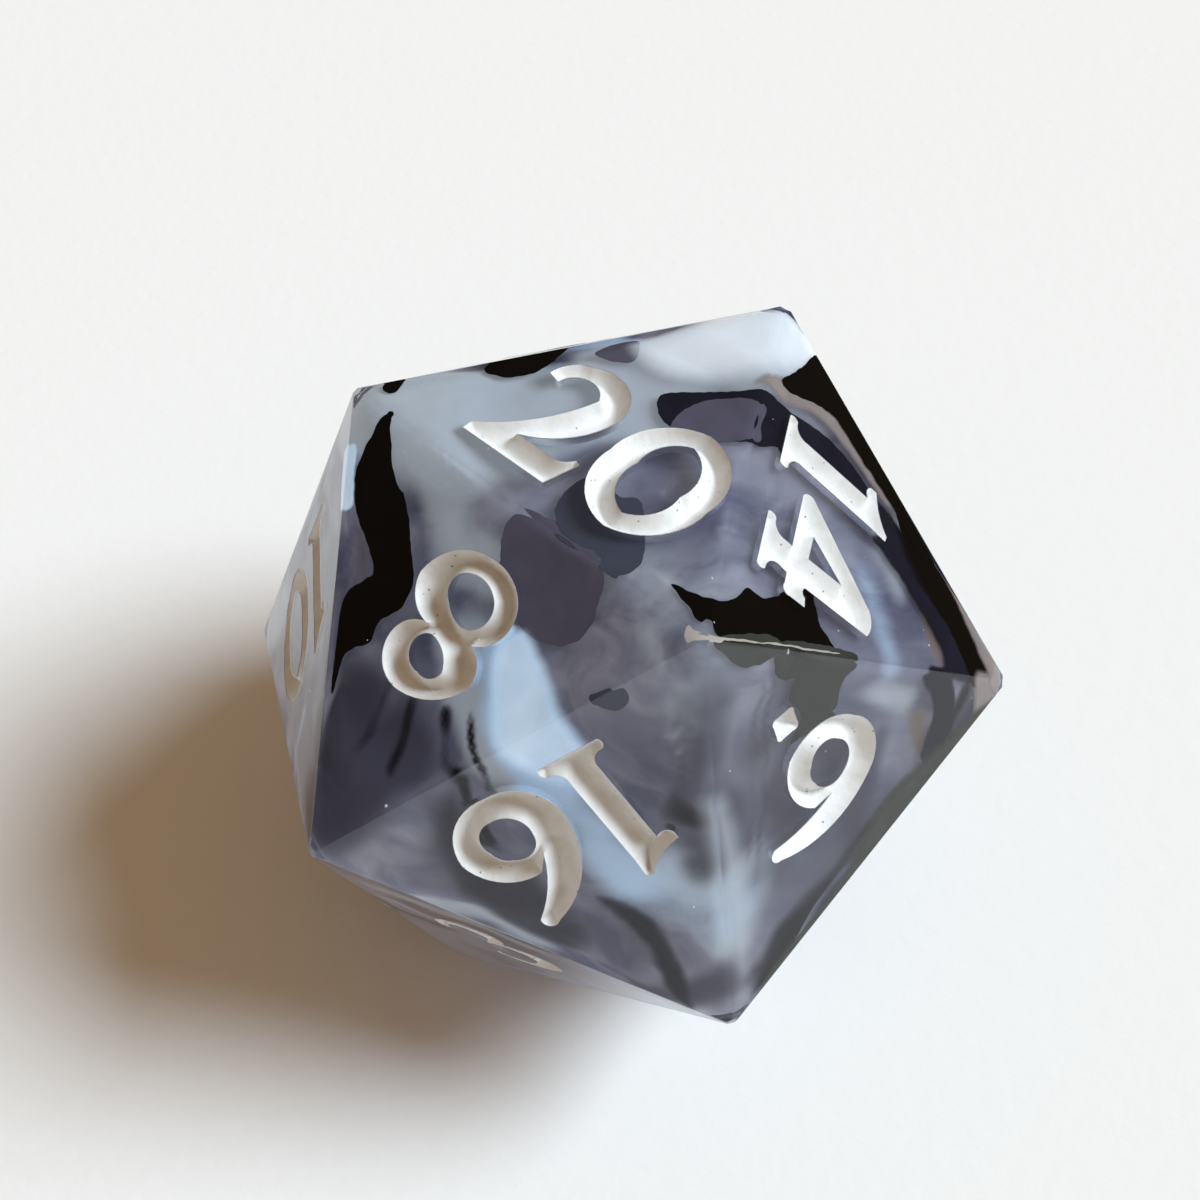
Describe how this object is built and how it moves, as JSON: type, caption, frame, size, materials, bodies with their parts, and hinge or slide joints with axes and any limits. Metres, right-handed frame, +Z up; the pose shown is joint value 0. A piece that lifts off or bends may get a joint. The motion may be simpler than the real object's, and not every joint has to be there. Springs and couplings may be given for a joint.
{
  "type": "twenty-sided die",
  "caption": "Icosahedral gaming die of clear smoky resin with black, white and blue pigment cast inside and engraved numerals filled with white paint.",
  "frame": {"origin": "centre of the face that the die rests on, which carries the numeral 1", "axes": "+Z up through the face that carries the numeral 20, +Y the way the top of that numeral points, +X to its right"},
  "size_m": [0.0214, 0.0246, 0.02],
  "materials": {
    "smoke_resin": "clear casting resin with a faint smoky lilac tint, faces polished flat and edges left crisp",
    "white_paint": "white acrylic paint wiped into the engraving, satin, a little uneven",
    "black_pigment": "black pigment drop set inside clear resin, thin and greyish at its edges",
    "white_pigment": "milky white pigment drop set inside clear resin, soft edged",
    "blue_pigment": "pale blue pigment drop set inside clear resin, soft edged"
  },
  "bodies": {
    "root": {"blue_cloud": "blue_pigment", "ink_crescent": "black_pigment", "ink_curtain": "black_pigment", "ink_haze": "black_pigment", "ink_patch_lower": "black_pigment", "ink_patch_upper": "black_pigment", "ink_plume": "black_pigment", "ink_rim": "black_pigment", "ink_veil_back": "black_pigment", "ink_veil_low": "black_pigment", "paint_01": "white_paint", "paint_02": "white_paint", "paint_03": "white_paint", "paint_04": "white_paint", "paint_05": "white_paint", "paint_06": "white_paint", "paint_07": "white_paint", "paint_08": "white_paint", "paint_09": "white_paint", "paint_10": "white_paint", "paint_11": "white_paint", "paint_12": "white_paint", "paint_13": "white_paint", "paint_14": "white_paint", "paint_15": "white_paint", "paint_16": "white_paint", "paint_17": "white_paint", "paint_18": "white_paint", "paint_19": "white_paint", "paint_20": "white_paint", "resin_body": "smoke_resin", "white_cap": "white_pigment", "white_cloud": "white_pigment", "white_veil_back": "white_pigment", "white_veil_low": "white_pigment", "white_wisp": "white_pigment"}
  },
  "joints": []
}
